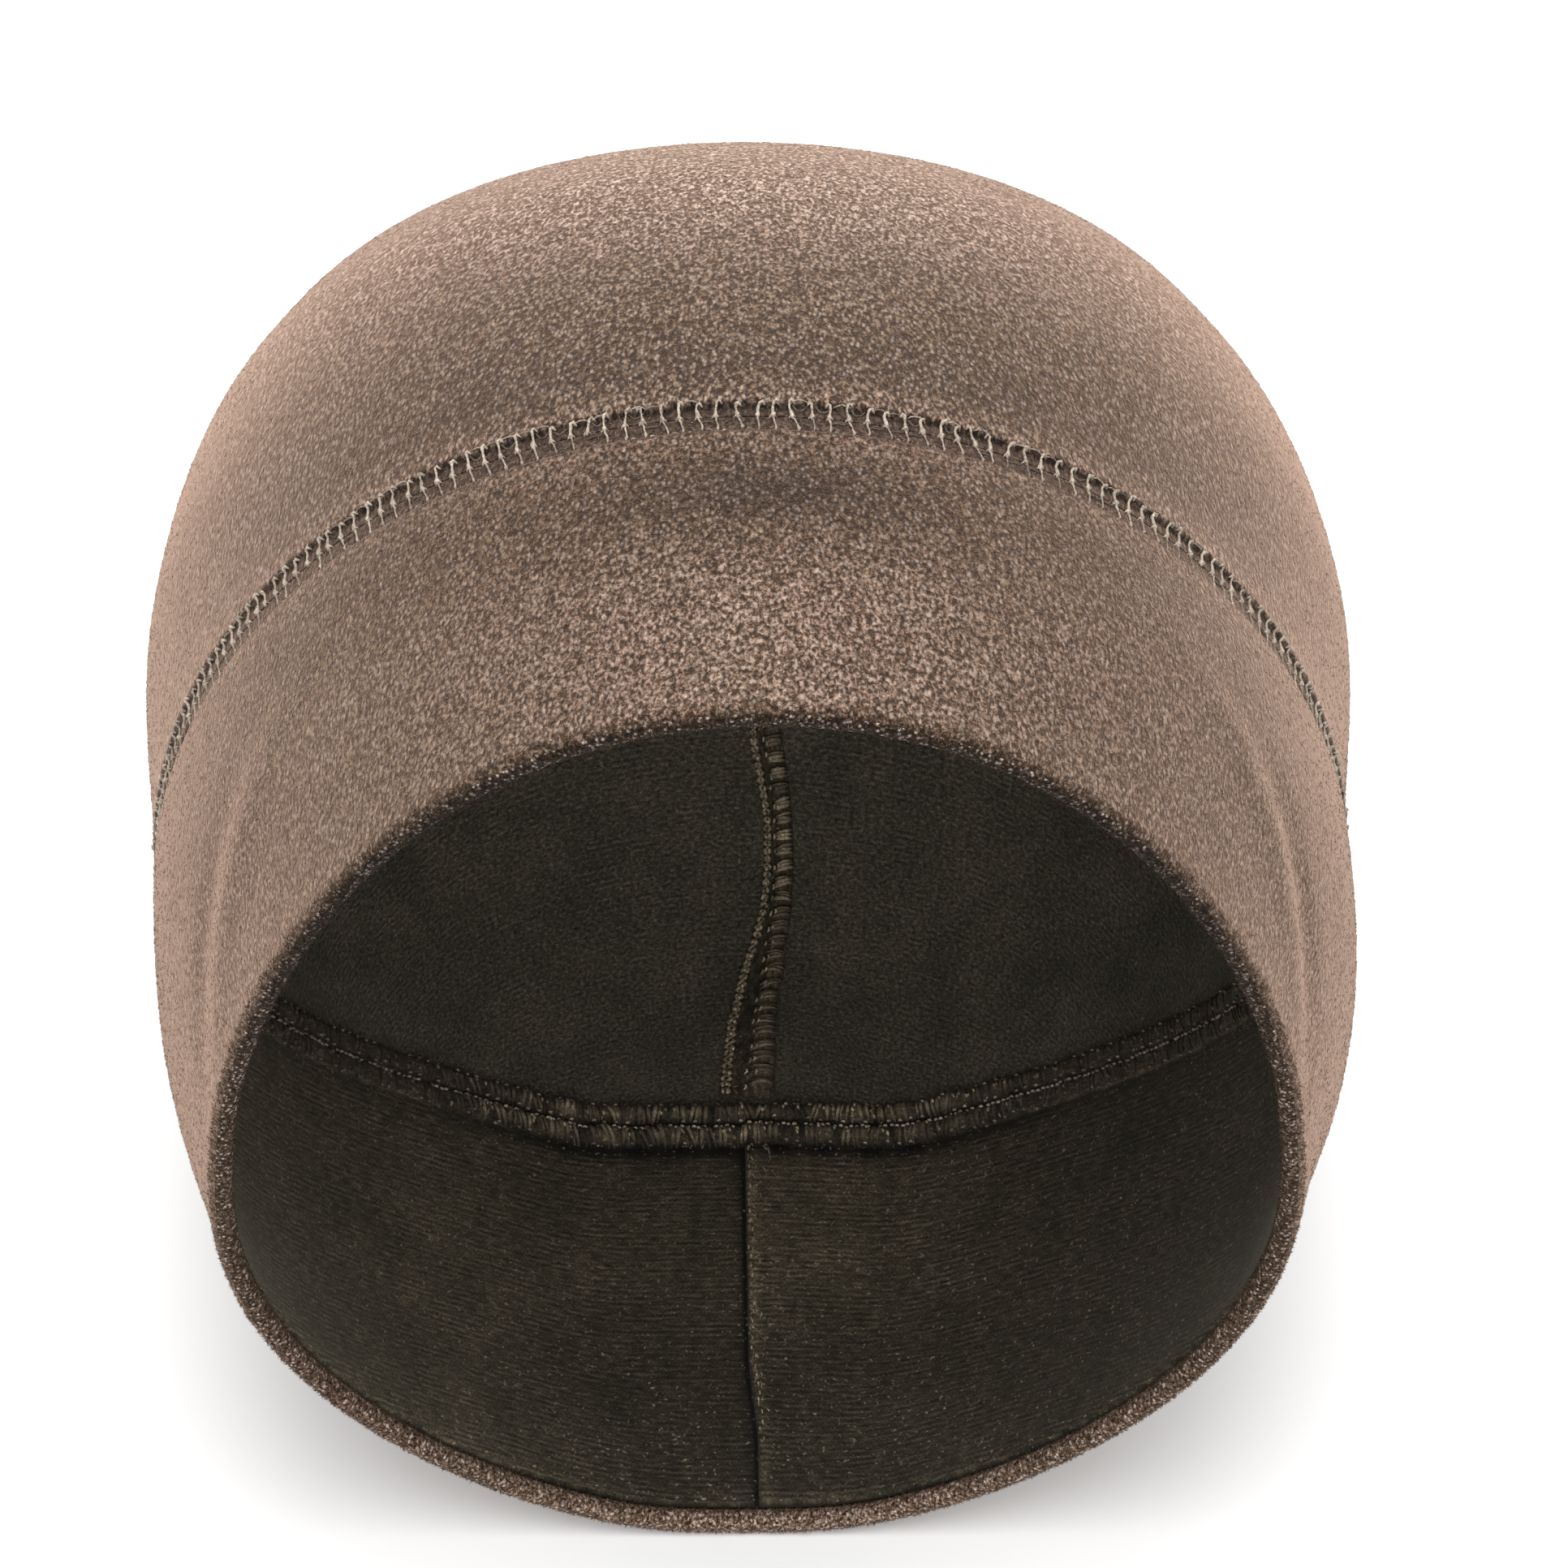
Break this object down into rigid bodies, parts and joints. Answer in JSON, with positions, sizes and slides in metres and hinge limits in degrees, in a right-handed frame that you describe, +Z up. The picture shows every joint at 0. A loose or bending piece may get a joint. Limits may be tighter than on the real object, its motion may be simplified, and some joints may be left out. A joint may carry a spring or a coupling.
{
  "type": "skull cap",
  "caption": "Close fitting two-layer skull cap of micro-fleece with a jersey lining, lying on its back with its opening to the front.",
  "frame": {"origin": "on the surface that the cap lies on, under the middle of its bounding box", "axes": "+Z up; the cap lies on its back, so its front faces up +Z, its opening faces -Y and its top faces +Y; +X is to the right as seen looking into the opening"},
  "size_m": [0.1804, 0.1828, 0.1959],
  "materials": {
    "fleece": "taupe heather micro-fleece, matt and slightly fuzzy",
    "jersey": "dark olive brown fine knitted jersey, matt",
    "overlock": "dark overlocked seam allowance, matt with looped thread",
    "stitch_thread": "light grey beige textured polyester sewing thread"
  },
  "bodies": {
    "root": {"crown_shell": "fleece", "band_shell": "fleece", "crown_lining": "jersey", "band_lining": "jersey", "ring_seam_allowance": "overlock", "crown_seam_allowance": "overlock"}
  },
  "joints": []
}
